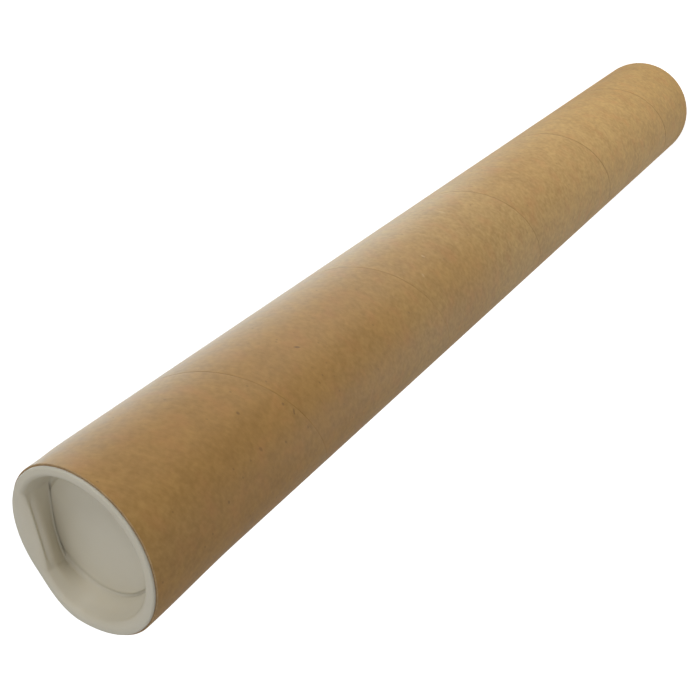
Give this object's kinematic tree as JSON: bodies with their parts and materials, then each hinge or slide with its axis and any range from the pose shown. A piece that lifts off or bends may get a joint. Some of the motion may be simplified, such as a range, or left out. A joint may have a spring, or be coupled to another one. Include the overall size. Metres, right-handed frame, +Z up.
{
  "type": "cardboard mailing tube",
  "caption": "Spiral-wound kraft cardboard mailing tube standing on end, closed at both ends by recessed white plastic push-in plugs; the upper rim is knocked in.",
  "frame": {"origin": "centre of the lower plug's flange face, on which the tube stands", "axes": "+Z up along the tube's axis to the upper plug; -Y is the front, the side the picture looks at; the knocked rim is at the back, towards +Y"},
  "size_m": [0.054, 0.054, 0.4592],
  "materials": {
    "kraft": "matte",
    "plug_plastic": "satin"
  },
  "bodies": {
    "bottom_plug": {"bottom_end_plug": "plug_plastic"},
    "tube": {"cardboard_tube": "kraft"},
    "top_plug": {"top_end_plug": "plug_plastic"}
  },
  "joints": [
    {"name": "tube_lift", "type": "slide", "parent": "bottom_plug", "child": "tube", "axis": [0, 0, 1], "range_m": [0, 0.06]},
    {"name": "top_plug_pull", "type": "slide", "parent": "tube", "child": "top_plug", "axis": [0, 0, 1], "range_m": [0, 0.06]}
  ]
}
